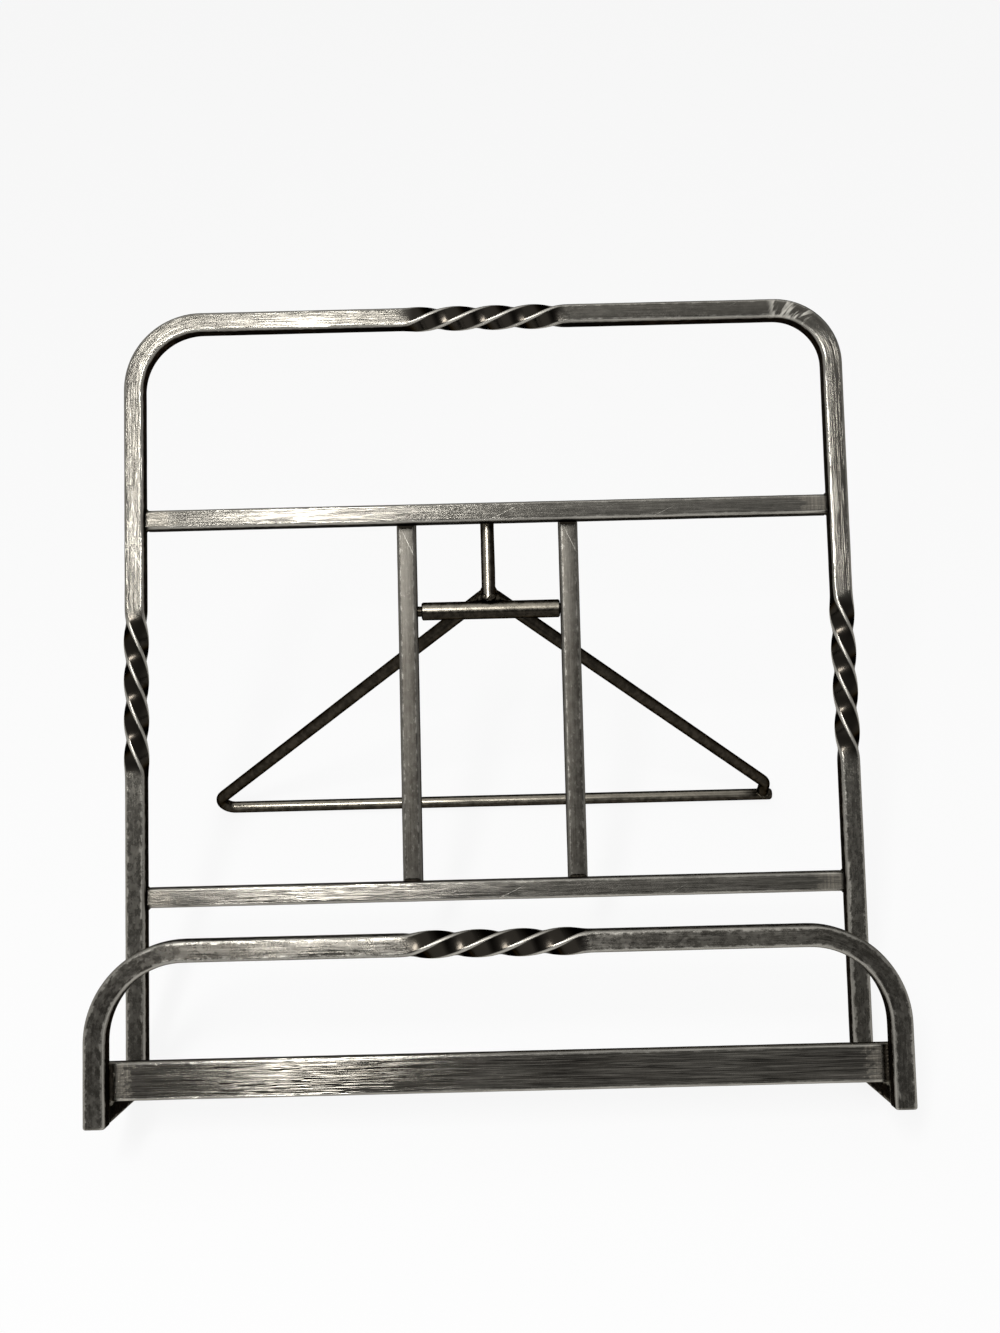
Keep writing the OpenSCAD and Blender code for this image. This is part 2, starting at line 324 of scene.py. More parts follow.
FEET_LEN = 0.15
SCUFF_PLACE = 0.574
half_bar = BAR / 2
ledge_half = (ledge_high - ledge_low) / 2
bar_finish = burnished("burnished_bar", half_bar, half_bar, groove=0.00013, patina=SOFT_PATINA,
                       tone=0.35, mottled=0.3, grimy_feet=FEET_LEN, scuff_at=SCUFF_PLACE)
hoop_finish = burnished("burnished_hoop", half_bar, half_bar, groove=0.00013, tone=0.6, mottled=0.7)
upright_finish = burnished("burnished_upright", half_bar, half_bar, groove=0.00003, patina=DULL_PATINA,
                           tone=0.3, polish=0.15, mottled=0.6)
crossbar_finish = burnished("burnished_crossbar", half_bar, half_bar, groove=0.00015, ground_len=0.012,
                            patina=LIGHT_PATINA, tone=0.6, polish=1.05)
ledge_finish = burnished("burnished_ledge", ledge_half.z, ledge_half.y, groove=0.00016, ground_len=0.014,
                         patina=DULL_PATINA, tone=0.54, polish=1.35, mottled=0.1)
bar_finishes = (bar_finish, hoop_finish, upright_finish, crossbar_finish, ledge_finish)
print("finishes", [finish.name for finish in bar_finishes])

# %% [markdown]
# ## Dark rod and weld
# The leg and its rods keep a brown-black skin with a dull shine. A painted highlight, a lighter line of
# colour, runs along the side that looks to the front, except on the leg's slanting sides. The line could
# be painted by hand, but the sweep can leave an attribute `facing` on the rod, which says how far each
# point looks that way, and so the painted highlight stays on the same side of the steel from every view.
# The welds are the same colour with a coarser skin.

# %% Make the dark finishes
# Colour of the painted highlight line on the rods, then how it fades and starts along the piece
PAINTED_ROD_HIGHLIGHT = (0.30, 0.275, 0.225, 1)
ROD_DARK = (0.020, 0.017, 0.013, 1)
ROD_LIGHT = (0.045, 0.038, 0.029, 1)
WELD_LIGHT = (0.085, 0.074, 0.055, 1)
HIGHLIGHT_FADE = 0.01
HIGHLIGHT_START = 0.008


def dark_steel(name, dark, light, grain_size, roughness, depth, highlight_len, highlight_from=0.0):
    """Dark skin, mottled in grains of that size, with a painted highlight line from one length along the piece to
    another.
    """
    material, sheet, shader = new_material(name)
    place = sheet.add("ShaderNodeTexCoord").of("Object")
    mottle = sheet.rise(sheet.noise(sheet.scale(place, 1 / grain_size), 4, 0.65), 0.35, 0.68)
    facing = sheet.add("ShaderNodeAttribute", {"attribute_name": "facing"}).of("Fac")
    along = sheet.add("ShaderNodeAttribute", {"attribute_name": "along"}).of("Fac")
    reached = sheet.rise(along, highlight_len, highlight_len - HIGHLIGHT_FADE)
    if highlight_from:
        reached = reached * sheet.rise(along, highlight_from, highlight_from + HIGHLIGHT_START)
    # Painted highlight: a lighter line of colour on the side that the facing attribute points to
    line = sheet.rise(facing + 0.05 * (mottle - 0.5), 0.76, 0.96) * reached
    skin = sheet.mix(mottle, dark, light)
    sheet.feed(shader, {"Base Color": sheet.mix(line * (0.88 + 0.12 * mottle), skin, PAINTED_ROD_HIGHLIGHT),
                        "Roughness": roughness + 0.06 * mottle,
                        "Normal": bumped(sheet, mottle, depth)})
    return material


ROD_GRAIN = 0.003
WELD_GRAIN = 0.0015
ROD_DEPTH = 0.0000003
BASE_LEN = wire_high.x * 2
rod_finish = dark_steel("dark_rod", ROD_DARK, ROD_LIGHT, ROD_GRAIN, 0.26, ROD_DEPTH, highlight_len=1.0)
leg_finish = dark_steel("dark_leg", ROD_DARK, ROD_LIGHT, ROD_GRAIN, 0.28, ROD_DEPTH, highlight_len=BASE_LEN,
                        highlight_from=0.009)
weld_finish = dark_steel("weld_skin", ROD_DARK, WELD_LIGHT, WELD_GRAIN, 0.26, 0.00006, highlight_len=0.0)
bead_finish = dark_steel("bead_skin", ROD_DARK, ROD_LIGHT, WELD_GRAIN, 0.45, 0.00003, highlight_len=0.0)
print("finishes", rod_finish.name, leg_finish.name, weld_finish.name, bead_finish.name)

# %% [markdown]
# ## One tree for every bar
# All the bars are lengths of the same stock, so one tree sweeps them all: it rounds the path's bends,
# steps along it, and carries a square outline with eased corners. A twist is nothing but a normal
# that turns about the path, so the twists are sums too: a ramp over the twist's length, added up and
# blurred a little where the bar starts to turn. The outline and the path each leave their names on
# the mesh for the finish to read. Rods use the same tree with a round outline.

# %% Build the sweeping trees
SWEEP_INPUTS = {
    "Path": "NodeSocketGeometry", "Width": "NodeSocketFloat", "Depth": "NodeSocketFloat",
    "Edge Radius": "NodeSocketFloat", "Step": "NodeSocketFloat",
    "Facing": "NodeSocketVector", "Twist Length": "NodeSocketFloat", "Top Twist": "NodeSocketFloat",
    "Side Twist": "NodeSocketFloat", "Side Twist Place": "NodeSocketFloat",
    "Highlight Side": "NodeSocketVector", "Unevenness": "NodeSocketFloat", "Material": "NodeSocketMaterial",
}
BEND_STEPS = 24
EDGE_STEPS = 5
ROUND_SIDES = 28
TWIST_FADE = 0.003
TURN_BLUR = 6
DENT_SCALE = 90.0


def open_tree(name, inputs):
    """A new geometry tree with those inputs, and the wire of its first input."""
    tree = bpy.data.node_groups.new(name, "GeometryNodeTree")
    for label, kind in inputs.items():
        tree.interface.new_socket(label, in_out="INPUT", socket_type=kind)
    tree.interface.new_socket("Piece", in_out="OUTPUT", socket_type="NodeSocketGeometry")
    sheet = Sheet(tree)
    return tree, sheet, sheet.add("NodeGroupInput")


def close_tree(sheet, mesh, given):
    """Ends a tree: unevenness, smooth shading, real geometry and the material."""
    position = sheet.add("GeometryNodeInputPosition")
    coarse = sheet.add("ShaderNodeTexNoise", {}, {"Vector": position, "Scale": DENT_SCALE, "Detail": 2.0})
    shift = (coarse - 0.5) * given.of("Unevenness")
    push = sheet.scale(sheet.add("GeometryNodeInputNormal"), shift)
    mesh = sheet.add("GeometryNodeSetPosition", {}, {"Geometry": mesh, "Offset": push})
    mesh = sheet.add("GeometryNodeSetShadeSmooth", {}, {"Geometry": mesh})
    mesh = sheet.add("GeometryNodeRealizeInstances", {}, {"Geometry": mesh})
    mesh = sheet.add("GeometryNodeSetMaterial", {}, {"Geometry": mesh, "Material": given.of("Material")})
    sheet.add("NodeGroupOutput", {}, {0: mesh})


def store(sheet, geometry, name, value, kind="FLOAT"):
    """Leaves a value on the geometry's points under that name."""
    return sheet.add("GeometryNodeStoreNamedAttribute", {"data_type": kind, "domain": "POINT"},
                     {"Geometry": geometry, "Name": name, "Value": value})


def sweep_tree(name, is_round):
    """A tree that sweeps a square or round outline along a path."""
    tree, sheet, given = open_tree(name, SWEEP_INPUTS)
    path = sheet.add("GeometryNodeMeshToCurve", {}, {"Mesh": given})
    bend = sheet.add("GeometryNodeInputNamedAttribute", {"data_type": "FLOAT"}, {"Name": "bend"})
    path = sheet.add("GeometryNodeFilletCurve", {"mode": "POLY"},
                     {"Curve": path, "Count": BEND_STEPS, "Radius": bend, "Limit Radius": True})
    path = sheet.add("GeometryNodeResampleCurve", {"mode": "LENGTH"},
                     {"Curve": path, "Length": given.of("Step")})
    along = sheet.add("GeometryNodeSplineParameter").of("Length")
    whole = sheet.add("GeometryNodeSplineLength")
    half = given.of("Twist Length") / 2
    turn = 0.0
    twisted = 0.0
    side_place = given.of("Side Twist Place")
    twists = ((whole / 2, "Top Twist"), (side_place, "Side Twist"), (whole - side_place, "Side Twist"))
    for place, label in twists:
        angle = given.of(label)
        turn = turn + sheet.rise(along, place - half, place + half, "LINEAR") * angle
        within = sheet.rise(abs(along - place), half + TWIST_FADE, half - TWIST_FADE)
        twisted = twisted + within * sheet.math("MINIMUM", abs(angle), 1.0)
    path = store(sheet, path, "along", along)
    path = store(sheet, path, "from_end", sheet.math("MINIMUM", along, whole - along))
    path = store(sheet, path, "twisted", twisted)
    eased = sheet.add("GeometryNodeBlurAttribute", {"data_type": "FLOAT"},
                      {"Value": turn, "Iterations": TURN_BLUR})
    tangent = sheet.add("GeometryNodeInputTangent")
    inward = sheet.vector("CROSS_PRODUCT", given.of("Facing"), tangent)
    inward = sheet.add("ShaderNodeVectorRotate", {"rotation_type": "AXIS_ANGLE"},
                       {"Vector": inward, "Axis": tangent, "Angle": eased})
    path = sheet.add("GeometryNodeSetCurveNormal", {"mode": "FREE"}, {"Curve": path, "Normal": inward})
    if is_round:
        outline = sheet.add("GeometryNodeCurvePrimitiveCircle", {"mode": "RADIUS"},
                            {"Resolution": ROUND_SIDES, "Radius": given.of("Width") / 2})
    else:
        outline = sheet.add("GeometryNodeCurvePrimitiveQuadrilateral", {"mode": "RECTANGLE"},
                            {"Width": given.of("Width"), "Height": given.of("Depth")})
        outline = sheet.add("GeometryNodeFilletCurve", {"mode": "POLY"},
                            {"Curve": outline, "Count": EDGE_STEPS, "Radius": given.of("Edge Radius")})
    outline = store(sheet, outline, "section", sheet.add("GeometryNodeInputPosition"), "FLOAT_VECTOR")
    mesh = sheet.add("GeometryNodeCurveToMesh", {},
                     {"Curve": path, "Profile Curve": outline, "Fill Caps": True})
    # How far each normal looks to the side that gets the rods' painted highlight
    facing = sheet.vector("DOT_PRODUCT", sheet.add("GeometryNodeInputNormal"), given.of("Highlight Side"))
    mesh = store(sheet, mesh, "facing", facing.of("Value"))
    close_tree(sheet, mesh, given)
    return tree


square_sweep = sweep_tree("square_sweep", False)
round_sweep = sweep_tree("round_sweep", True)
print("trees", square_sweep.name, len(square_sweep.nodes), "nodes,", round_sweep.name)

# %% [markdown]
# ## From path to piece
# A path is a handful of points. The helper below hangs the tree on it, sets the tree's inputs by their
# identifiers, eases the sawn ends with a small bevel, and takes the result as a plain mesh. The piece
# is then turned from the bench to its place and told which body it moves with, and the CAD nodes it
# stands for are hidden.

# %% Turn paths into pieces
FILED_ANGLE = radians(55)
FILED_STEPS = 3
SHARP_ANGLE = radians(40)
BAR_STEP = 0.002
BAR_UNEVENNESS = 0.00012


def path_mesh(name, points, bends=None):
    """A chain of edges through points, with the radius of the bend at each."""
    mesh = bpy.data.meshes.new(name)
    mesh.from_pydata([tuple(p) for p in points], [(i, i + 1) for i in range(len(points) - 1)], [])
    radii = mesh.attributes.new("bend", "FLOAT", "POINT")
    radii.data.foreach_set("value", bends or [0.0] * len(points))
    return mesh


def grow(name, tree, mesh, inputs, end_bevel=0.0, cutters=()):
    """The plain mesh that a tree makes of a path, with its ends eased and any cutters taken out."""
    holder = bpy.data.objects.new(name + "_path", mesh)
    bpy.context.scene.collection.objects.link(holder)
    nodes = holder.modifiers.new("tree", "NODES")
    nodes.node_group = tree
    for item in tree.interface.items_tree:
        if item.in_out == "INPUT" and item.name in inputs:
            nodes[item.identifier] = inputs[item.name]
    if end_bevel:
        bevel = holder.modifiers.new("filed_ends", "BEVEL")
        bevel.limit_method = "ANGLE"
        bevel.angle_limit = FILED_ANGLE
        bevel.width = end_bevel
        bevel.segments = FILED_STEPS
    for cutter in cutters:
        cut = holder.modifiers.new("bore", "BOOLEAN")
        cut.operation = "DIFFERENCE"
        cut.solver = "EXACT"
        cut.object = cutter
    depsgraph = bpy.context.evaluated_depsgraph_get()
    made = bpy.data.meshes.new_from_object(holder.evaluated_get(depsgraph), depsgraph=depsgraph)
    bpy.data.objects.remove(holder)
    shape = bmesh.new()
    shape.from_mesh(made)
    bmesh.ops.recalc_face_normals(shape, faces=shape.faces[:])
    shape.to_mesh(made)
    shape.free()
    made.name = name
    made.set_sharp_from_angle(angle=SHARP_ANGLE)
    return made


def seat(name, mesh, bench, body, slot, *nodes):
    """Turns a mesh from its bench to its place, as a piece that stands for CAD nodes."""
    mesh.transform(bench)
    mesh.update()
    piece = bpy.data.objects.new(name, mesh)
    bpy.context.scene.collection.objects.link(piece)
    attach(piece, body)
    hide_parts(*nodes)
    print(f"{name}: {len(mesh.polygons)} faces")
    return piece


def bar_sizes(finish, **sizes):
    """Inputs of the sweeping tree for square bar, with any that differ."""
    inputs = {"Width": BAR, "Depth": BAR, "Edge Radius": EDGE_R, "Step": BAR_STEP, "Facing": (0, 1, 0),
              "Unevenness": BAR_UNEVENNESS, "Material": finish}
    inputs.update(sizes)
    return inputs


print("ready to sweep")

# %% [markdown]
# ## The two hoops
# Each hoop is one length of bar, bent twice and twisted cold where the bar runs straight: one twist
# in the top of each, and one in each side of the back hoop. A smith clamps the bar and turns it one
# full turn, always the same way, so all four twists have the same hand. A twisted length could be made
# on its own and joined to two bends, but the joints would show. The sweep bends and twists one bar.

# %% Sweep the hoops
HOOP_STEP = 0.001
HOOP_END_BEVEL = 0.0008


def hoop_path(y, height):
    """Feet and corners of an inverted U on the bars' centre lines."""
    top = HEEL_Z + height - BAR / 2
    return [(-SIDE_X, y, HEEL_Z), (-SIDE_X, y, top), (SIDE_X, y, top), (SIDE_X, y, HEEL_Z)]


def hoop(name, y, height, left_r, right_r, finish, **twists):
    """A hoop with those radii round the outside of its two corners."""
    inputs = bar_sizes(finish, Step=HOOP_STEP)
    inputs.update({"Twist Length": TWIST_LEN, "Top Twist": TWIST_TURN})
    inputs.update(twists)
    bends = [0, left_r - BAR / 2, right_r - BAR / 2, 0]
    path = path_mesh(name, hoop_path(y, height), bends)
    mesh = grow(name, square_sweep, path, inputs, end_bevel=HOOP_END_BEVEL)
    return seat(name + "_bar", mesh, STAND, "stand", "burnished_bar", name)


hoop("back_hoop", BACK_Y, FRAME_H, LEFT_CORNER_R, RIGHT_CORNER_R, bar_finish,
     **{"Side Twist": TWIST_TURN, "Side Twist Place": SIDE_TWIST_Z})
hoop("front_hoop", FRONT_Y, HOOP_H, HOOP_CORNER_R, HOOP_CORNER_R, hoop_finish)

# %% [markdown]
# ## Straight bars
# Crossbars and side rails are sawn lengths that butt against their neighbours, and the flat ledge bar
# is the same sweep with a taller, thinner outline. A bevelled cube would have the shape, but not the
# map along the bar that the finish reads, so these are swept too.

# %% Sweep the straight bars
LEDGE_EDGE_R = 0.0011


def straight(name, start, end, finish, cutters=(), **sizes):
    """A straight bar between two points of its centre line."""
    mesh = grow(name, square_sweep, path_mesh(name, [start, end]), bar_sizes(finish, **sizes),
                cutters=cutters)
    return seat(name + "_bar", mesh, STAND, "stand", "burnished_bar", name)


def middle(low, high):
    return (low + high) / 2


for name in ("upper_crossbar", "lower_crossbar"):
    low, high = bench_box(name, STAND)
    centre = middle(low, high)
    straight(name, (low.x, centre.y, centre.z), (high.x, centre.y, centre.z), crossbar_finish)
for name in ("left_side_rail", "right_side_rail"):
    low, high = bench_box(name, STAND)
    centre = middle(low, high)
    straight(name, (centre.x, high.y, centre.z), (centre.x, low.y, centre.z), bar_finish, Facing=(0, 0, -1))
low, high = ledge_low, ledge_high
centre = middle(low, high)
straight("ledge_bar", (low.x, centre.y, centre.z), (high.x, centre.y, centre.z), ledge_finish,
         Width=high.z - low.z, Depth=high.y - low.y, **{"Edge Radius": LEDGE_EDGE_R})

# %% [markdown]
# ## The rod that carries the leg
# The leg hangs from a short round rod whose ends are turned down and sit in the uprights. A lathe turns
# it from one bar, and so do we: pairs of place and radius are rings, and rings are joined by faces. The
# same lathe makes the round cutters for the holes. Where its painted highlight line goes is measured
# from the normals, since no sweep leaves it there.

# %% Lathe the pivot rod
TENON_D = 0.0044
TENON_LEN = 0.0053
BORE_D = 0.0045
BORE_LEN = 0.0053
ROD_SIDES = 40
HIGHLIGHT_UP = radians(14)


def lathe(name, outline, y, z):
    """A closed round mesh about a line along X, from pairs of x and radius."""
    shape = bmesh.new()
    rings = []
    angles = [2 * pi * i / ROD_SIDES for i in range(ROD_SIDES)]
    for x, radius in outline:
        rings.append([shape.verts.new((x, y + radius * cos(a), z + radius * sin(a))) for a in angles])
    for ring, after in zip(rings, rings[1:]):
        for i in range(ROD_SIDES):
            shape.faces.new((ring[i], after[i], after[i - 1], ring[i - 1]))
    shape.faces.new(rings[0])
    shape.faces.new(list(reversed(rings[-1])))
    bmesh.ops.recalc_face_normals(shape, faces=shape.faces[:])
    mesh = bpy.data.meshes.new(name)
    shape.to_mesh(mesh)
    shape.free()
    mesh.shade_smooth()
    mesh.set_sharp_from_angle(angle=SHARP_ANGLE)
    return mesh


rod_low, rod_high = bench_box("pivot_rod", LEG)
rod_r = (rod_high.z - rod_low.z) / 2
rod_mid = middle(rod_low, rod_high)
ease = 0.0005
body_from = rod_low.x + TENON_LEN
body_to = rod_high.x - TENON_LEN
rod_outline = [(rod_low.x, TENON_D / 2 - ease), (rod_low.x + ease, TENON_D / 2), (body_from, TENON_D / 2),
               (body_from, rod_r - ease), (body_from + ease, rod_r), (body_to - ease, rod_r),
               (body_to, rod_r - ease), (body_to, TENON_D / 2), (rod_high.x - ease, TENON_D / 2),
               (rod_high.x, TENON_D / 2 - ease)]
# The pivot rod and the leg's base rod get their painted highlight on the side that looks to the front and a little
# up
highlight_side = Vector((0, -cos(HIGHLIGHT_UP), sin(HIGHLIGHT_UP)))
highlight_on_leg = LEG.inverted() @ STAND @ highlight_side
rod_mesh = lathe("pivot_rod", rod_outline, rod_mid.y, rod_mid.z)
faced = [n.vector.dot(highlight_on_leg) for n in rod_mesh.vertex_normals]
rod_mesh.attributes.new("facing", "FLOAT", "POINT").data.foreach_set("value", faced)
rod_mesh.materials.append(rod_finish)
seat("pivot_rod_turned", rod_mesh, LEG, "leg", "dark_rod", "pivot_rod")

# %% [markdown]
# ## Bored uprights
# The two uprights lie behind the crossbars, and each has a blind hole for one end of the rod. The hole
# hardly shows, but the rod needs room, so a round cutter is taken out of each swept bar.

# %% Sweep the bored uprights
pivot = STAND.inverted() @ Vector(fold["pos_m"])
for name, side in (("left_upright", -1), ("right_upright", 1)):
    low, high = bench_box(name, STAND)
    centre = middle(low, high)
    face_x = centre.x - side * BAR / 2
    ends = sorted((face_x - side * BAR / 2, face_x + side * BORE_LEN))
    cutter_mesh = lathe("bore", [(ends[0], BORE_D / 2), (ends[1], BORE_D / 2)], pivot.y, pivot.z)
    cutter = bpy.data.objects.new("bore", cutter_mesh)
    bpy.context.scene.collection.objects.link(cutter)
    straight(name, (centre.x, centre.y, low.z), (centre.x, centre.y, high.z), upright_finish,
             cutters=[cutter])
    bpy.data.objects.remove(cutter)

# %% [markdown]
# ## The leg's wire
# The leg is one round wire. It starts at the right as the rod that lies on the table, turns up at the
# left, bends over at the apex behind the pivot rod, and comes down on its own beginning, where it is
# welded. A closed triangle would lose that end, so the path is open: its last short stretch stands on
# the end of the base. The stop rod is a short straight stub of the same wire.

# %% Sweep the leg and the stop rod
NIB = 0.0022
WIRE_STEP = 0.0015
WIRE_UNEVENNESS = 0.0001
WIRE_END_BEVEL = 0.0016
STOP_STEP = 0.001
STOP_UNEVENNESS = 0.00035
STOP_END_BEVEL = 0.0006
base_z = wire_low.z + WIRE_D / 2
wire_y = middle(wire_low, wire_high).y
side_run = Vector((wire_low.x + WIRE_D / 2 + LEG_BEND_R,
                   wire_high.z + APEX_RISE - WIRE_D / 2 - APEX_BEND_R - base_z - LEG_BEND_R))
slope = atan2(side_run.y, -side_run.x) - asin((LEG_BEND_R - APEX_BEND_R) / side_run.length)
corner_x = side_run.x - LEG_BEND_R * tan((pi - slope) / 2)
apex_z = base_z - corner_x * tan(slope)
landing_x = wire_high.x - WIRE_D / 2 - NIB
landing_z = apex_z - landing_x * tan(slope)
leg_path = [(wire_high.x, wire_y, base_z), (corner_x, wire_y, base_z), (0, wire_y, apex_z),
            (landing_x, wire_y, landing_z), (landing_x, wire_y, base_z)]
leg_sizes = bar_sizes(leg_finish, Width=WIRE_D, Step=WIRE_STEP, Unevenness=WIRE_UNEVENNESS)
leg_sizes["Highlight Side"] = highlight_on_leg
leg_bends = [0, LEG_BEND_R, APEX_BEND_R, LEG_BEND_R, 0]
leg_mesh = grow("leg_wire", round_sweep, path_mesh("leg_wire", leg_path, leg_bends), leg_sizes,
                end_bevel=WIRE_END_BEVEL)
seat("leg_wire_bent", leg_mesh, LEG, "leg", "dark_rod", "leg_wire")

stop_low, stop_high = bench_box("stop_rod", STAND)
stop_mid = middle(stop_low, stop_high)
stop_path = [(stop_mid.x, stop_mid.y, stop_low.z), (stop_mid.x, stop_mid.y, stop_high.z)]
stop_sizes = bar_sizes(rod_finish, Width=stop_high.x - stop_low.x, Step=STOP_STEP,
                       Unevenness=STOP_UNEVENNESS)
# The stop rod gets its painted highlight on its left front side
stop_sizes["Highlight Side"] = Vector((-sin(HIGHLIGHT_UP), -cos(HIGHLIGHT_UP), 0))
stop_mesh = grow("stop_rod", round_sweep, path_mesh("stop_rod", stop_path), stop_sizes,
                 end_bevel=STOP_END_BEVEL)
seat("stop_rod_stub", stop_mesh, STAND, "leg", "dark_rod", "stop_rod")

# %% [markdown]
# ## Welds along a corner
# Where two bars meet, the weld is a small hollow fillet in the corner between two faces. One tree lays
# them all: every bead is a line along its corner, with the way along one of the two faces stored on
# its points, so that the tree knows how to lay its three-cornered outline. The bead swells a little
# with each dab of the welder's rod and thins out at its ends. It sinks into the bars' rounded edges.

# %% Lay the beads
BEAD_INPUTS = {"Lines": "NodeSocketGeometry", "Leg": "NodeSocketFloat", "Sink": "NodeSocketFloat",
               "Dab": "NodeSocketFloat", "Unevenness": "NodeSocketFloat", "Material": "NodeSocketMaterial"}
BEAD_STEP = 0.0003
BEAD_FADE = 0.0012


def bead_tree(name):
    """A tree that lays a hollow, rippled fillet along each line."""
    tree, sheet, given = open_tree(name, BEAD_INPUTS)
    path = sheet.add("GeometryNodeMeshToCurve", {}, {"Mesh": given})
    path = sheet.add("GeometryNodeResampleCurve", {"mode": "LENGTH"}, {"Curve": path, "Length": BEAD_STEP})
    along = sheet.add("GeometryNodeSplineParameter").of("Length")
    from_end = sheet.math("MINIMUM", along, sheet.add("GeometryNodeSplineLength") - along)
    ripple = sheet.math("SINE", along / given.of("Dab") * 2 * pi)
    swell = (0.5 + 0.5 * sheet.rise(from_end, 0, BEAD_FADE)) * (1 + 0.07 * ripple)
    across = sheet.add("GeometryNodeInputNamedAttribute", {"data_type": "FLOAT_VECTOR"}, {"Name": "across"})
    path = sheet.add("GeometryNodeSetCurveNormal", {"mode": "FREE"}, {"Curve": path, "Normal": across})
    leg = given.of("Leg")
    sunk = 0 - given.of("Sink")
    hollow = leg * 0.34
    outline = sheet.add("GeometryNodeCurvePrimitiveQuadrilateral", {"mode": "POINTS"},
                        {"Point 1": sheet.join(sunk, sunk, 0), "Point 2": sheet.join(leg, sunk, 0),
                         "Point 3": sheet.join(hollow, hollow, 0), "Point 4": sheet.join(sunk, leg, 0)})
    outline = sheet.add("GeometryNodeFilletCurve", {"mode": "POLY"},
                        {"Curve": outline, "Count": 4, "Radius": leg * 0.4, "Limit Radius": True})
    mesh = sheet.add("GeometryNodeCurveToMesh", {},
                     {"Curve": path, "Profile Curve": outline, "Scale": swell, "Fill Caps": True})
    close_tree(sheet, mesh, given)
    return tree


fillet_bead = bead_tree("fillet_bead")


def lay_beads(node, leg, beads):
    """Beads in corners, each from the corner's two ends and the ways along its two faces."""
    points = []
    edges = []
    ways = []
    for start, end, way, other in beads:
        forward = Vector(way).cross(Vector(other))
        if forward.dot(Vector(end) - Vector(start)) < 0:
            start, end = end, start
        edges.append((len(points), len(points) + 1))
        points += [start, end]
        ways += [*way, *way]
    mesh = bpy.data.meshes.new(node)
    mesh.from_pydata(points, edges, [])
    mesh.attributes.new("across", "FLOAT_VECTOR", "POINT").data.foreach_set("vector", ways)
    sizes = {"Leg": leg, "Sink": EDGE_R * 0.6, "Dab": 0.0014, "Unevenness": 0.0004, "Material": bead_finish}
    bead_mesh = grow(node, fillet_bead, mesh, sizes)
    return seat(node[:-1] + "_beads", bead_mesh, STAND, "stand", "weld_bead", node)


INSET = EDGE_R * 0.5
hoop_front = BACK_Y - BAR / 2
hoop_back = BACK_Y + BAR / 2
end_beads = []
upright_beads = []
for low, high, inner_z, inward in ((upper_low, upper_high, upper_low.z, -1),
                                   (lower_low, lower_high, lower_high.z, 1)):
    for side in (-1, 1):
        for z, up in ((low.z, -1), (high.z, 1)):
            end_beads.append(((side * high.x, low.y + INSET, z), (side * high.x, hoop_back - INSET, z),
                              (-side, 0, 0), (0, 0, up)))
    for name in ("left_upright", "right_upright"):
        post_low, post_high = bench_box(name, STAND)
        for x, out in ((post_low.x, -1), (post_high.x, 1)):
            upright_beads.append(((x, high.y, low.z + INSET), (x, high.y, high.z - INSET),
                                  (out, 0, 0), (0, 1, 0)))
        upright_beads.append(((post_low.x + INSET, high.y, inner_z), (post_high.x - INSET, high.y, inner_z),
                              (0, -1, 0), (0, 0, inward)))
lay_beads("crossbar_welds", 0.0016, end_beads)
lay_beads("upright_welds", 0.0016, upright_beads)

rail_beads = []
ledge_beads = []
for side, name in ((-1, "left_side_rail"), (1, "right_side_rail")):
    low, high = bench_box(name, STAND)
    rail_beads.append(((low.x + INSET, hoop_front, high.z), (high.x - INSET, hoop_front, high.z),
                       (0, -1, 0), (0, 0, 1)))
    ledge_beads.append(((side * upper_high.x, ledge_low.y, ledge_low.z + INSET),
                        (side * upper_high.x, ledge_low.y, ledge_high.z - INSET),
                        (-side, 0, 0), (0, -1, 0)))
lay_beads("rail_welds", 0.0018, rail_beads)
lay_beads("ledge_welds", 0.0022, ledge_beads)

# %% [markdown]
# ## Lumps of weld
# The leg's two welds are puddles rather than lines: one where stop rod, pivot rod and wire meet, and
# one round the wire's end where it stands on its own beginning. A puddle is drops of metal that ran
# together, and that is how the tree makes it: round drops become one cloud, the cloud's skin becomes a
# mesh, and the skin is smoothed.

# %% Run drops together
LUMP_INPUTS = {"Drops": "NodeSocketGeometry", "Grain": "NodeSocketFloat", "Unevenness": "NodeSocketFloat",
               "Material": "NodeSocketMaterial"}


def lump_tree(name):
    """A tree that runs round drops together to one smooth lump."""
    tree, sheet, given = open_tree(name, LUMP_INPUTS)
    size = sheet.add("GeometryNodeInputNamedAttribute", {"data_type": "FLOAT"}, {"Name": "size"})
    drops = sheet.add("GeometryNodeMeshToPoints", {}, {"Mesh": given})
    cloud = sheet.add("GeometryNodePointsToVolume", {"resolution_mode": "VOXEL_SIZE"},
                      {"Points": drops, "Density": 1.0, "Voxel Size": given.of("Grain"), "Radius": size})
    mesh = sheet.add("GeometryNodeVolumeToMesh", {"resolution_mode": "GRID"},
                     {"Volume": cloud, "Threshold": 0.1, "Adaptivity": 0.0})
    smooth = sheet.add("GeometryNodeBlurAttribute", {"data_type": "FLOAT_VECTOR"},
                       {"Value": sheet.add("GeometryNodeInputPosition"), "Iterations": 8})
    mesh = sheet.add("GeometryNodeSetPosition", {}, {"Geometry": mesh, "Position": smooth})
    close_tree(sheet, mesh, given)
    return tree


weld_lump = lump_tree("weld_lump")


def run_together(node, bench, drops):
    """A lump of weld from drops, each a place and a radius."""
    mesh = bpy.data.meshes.new(node)
    mesh.from_pydata([place for place, radius in drops], [], [])
    sizes = [radius for place, radius in drops]
    mesh.attributes.new("size", "FLOAT", "POINT").data.foreach_set("value", sizes)
    lump = grow(node, weld_lump, mesh, {"Grain": 0.0003, "Unevenness": 0.0005, "Material": weld_finish})
    return seat(node + "_lump", lump, bench, "leg", "weld_bead", node)


